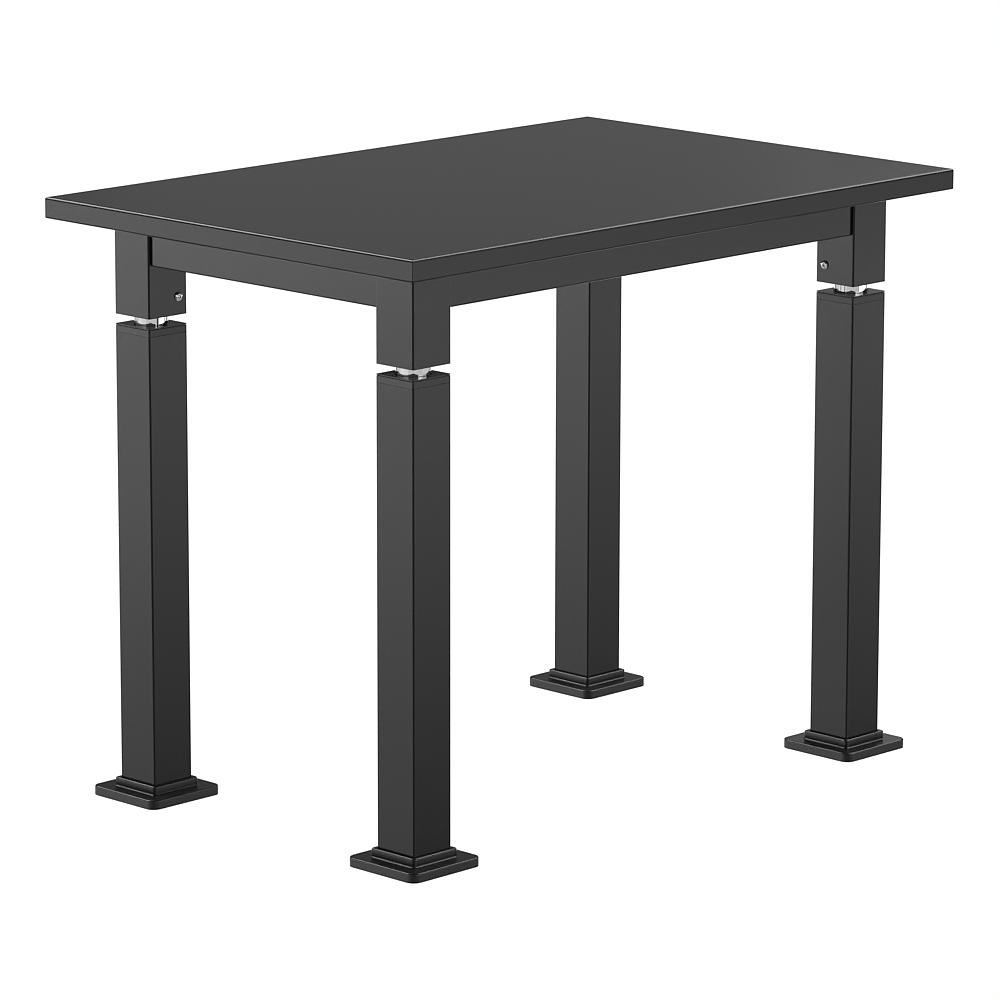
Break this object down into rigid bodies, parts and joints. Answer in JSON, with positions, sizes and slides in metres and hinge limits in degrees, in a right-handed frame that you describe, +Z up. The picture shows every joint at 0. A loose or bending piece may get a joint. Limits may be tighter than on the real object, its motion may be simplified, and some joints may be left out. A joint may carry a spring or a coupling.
{
  "type": "height-adjustable laboratory table",
  "caption": "Black rectangular laboratory table on square telescopic legs with polished lifting columns and stepped feet; the top rises on a synchronised lift.",
  "frame": {"origin": "on the floor under the middle of the tabletop, at the lowest setting", "axes": "+X along the tabletop's long side, +Y along its short side from front to rear, +Z up"},
  "size_m": [0.9, 0.6, 0.708],
  "materials": {
    "worktop": "satin black compact laminate",
    "powder_coat": "satin black powder coat",
    "moulding": "satin black moulding",
    "wiper": "glossy black ring",
    "chrome": "mirror-polished chrome",
    "steel": "bright steel",
    "acetal": "natural white acetal",
    "casting": "die-cast"
  },
  "bodies": {
    "legs": {"lower_leg_front_left": "powder_coat", "guide_cap_front_left": "moulding", "wiper_ring_front_left": "wiper", "foot_front_left": "moulding", "gear_motor_front_left": "casting", "lower_leg_front_right": "powder_coat", "guide_cap_front_right": "moulding", "wiper_ring_front_right": "wiper", "foot_front_right": "moulding", "gear_motor_front_right": "casting", "lower_leg_rear_right": "powder_coat", "guide_cap_rear_right": "moulding", "wiper_ring_rear_right": "wiper", "foot_rear_right": "moulding", "gear_motor_rear_right": "casting", "lower_leg_rear_left": "powder_coat", "guide_cap_rear_left": "moulding", "wiper_ring_rear_left": "wiper", "foot_rear_left": "moulding", "gear_motor_rear_left": "casting"},
    "top": {"tabletop": "worktop", "front_rail": "powder_coat", "rear_rail": "powder_coat", "left_rail": "powder_coat", "right_rail": "powder_coat", "stub_front_left": "powder_coat", "column_head_front_left": "casting", "column_front_left": "chrome", "column_glide_front_left": "acetal", "spindle_nut_front_left": "acetal", "stub_front_right": "powder_coat", "column_head_front_right": "casting", "column_front_right": "chrome", "column_glide_front_right": "acetal", "spindle_nut_front_right": "acetal", "stub_rear_right": "powder_coat", "column_head_rear_right": "casting", "column_rear_right": "chrome", "column_glide_rear_right": "acetal", "spindle_nut_rear_right": "acetal", "stub_rear_left": "powder_coat", "column_head_rear_left": "casting", "column_rear_left": "chrome", "column_glide_rear_left": "acetal", "spindle_nut_rear_left": "acetal", "stub_screw_front_left_a": "steel", "stub_screw_front_left_b": "steel", "stub_screw_front_right_a": "steel", "stub_screw_front_right_b": "steel", "stub_screw_rear_right_a": "steel", "stub_screw_rear_right_b": "steel", "stub_screw_rear_left_a": "steel", "stub_screw_rear_left_b": "steel"},
    "spindle_front_left": {"spindle_front_left": "steel"},
    "spindle_front_right": {"spindle_front_right": "steel"},
    "spindle_rear_right": {"spindle_rear_right": "steel"},
    "spindle_rear_left": {"spindle_rear_left": "steel"}
  },
  "joints": [
    {"name": "lift", "type": "slide", "parent": "legs", "child": "top", "axis": [0, 0, 1], "range_m": [0, 0.28]},
    {"name": "spindle_turn_front_left", "type": "hinge", "parent": "legs", "child": "spindle_front_left", "pos_m": [-0.365, -0.215, 0.16], "axis": [0, 0, 1], "range_deg": [0, 6301]},
    {"name": "spindle_turn_front_right", "type": "hinge", "parent": "legs", "child": "spindle_front_right", "pos_m": [0.365, -0.215, 0.16], "axis": [0, 0, 1], "range_deg": [0, 6301]},
    {"name": "spindle_turn_rear_right", "type": "hinge", "parent": "legs", "child": "spindle_rear_right", "pos_m": [0.365, 0.215, 0.16], "axis": [0, 0, 1], "range_deg": [0, 6301]},
    {"name": "spindle_turn_rear_left", "type": "hinge", "parent": "legs", "child": "spindle_rear_left", "pos_m": [-0.365, 0.215, 0.16], "axis": [0, 0, 1], "range_deg": [0, 6301]}
  ],
  "couplings": [
    {"joint": "spindle_turn_front_left", "follows": "lift", "rad_per_m": 392.7},
    {"joint": "spindle_turn_front_right", "follows": "lift", "rad_per_m": 392.7},
    {"joint": "spindle_turn_rear_right", "follows": "lift", "rad_per_m": 392.7},
    {"joint": "spindle_turn_rear_left", "follows": "lift", "rad_per_m": 392.7}
  ]
}
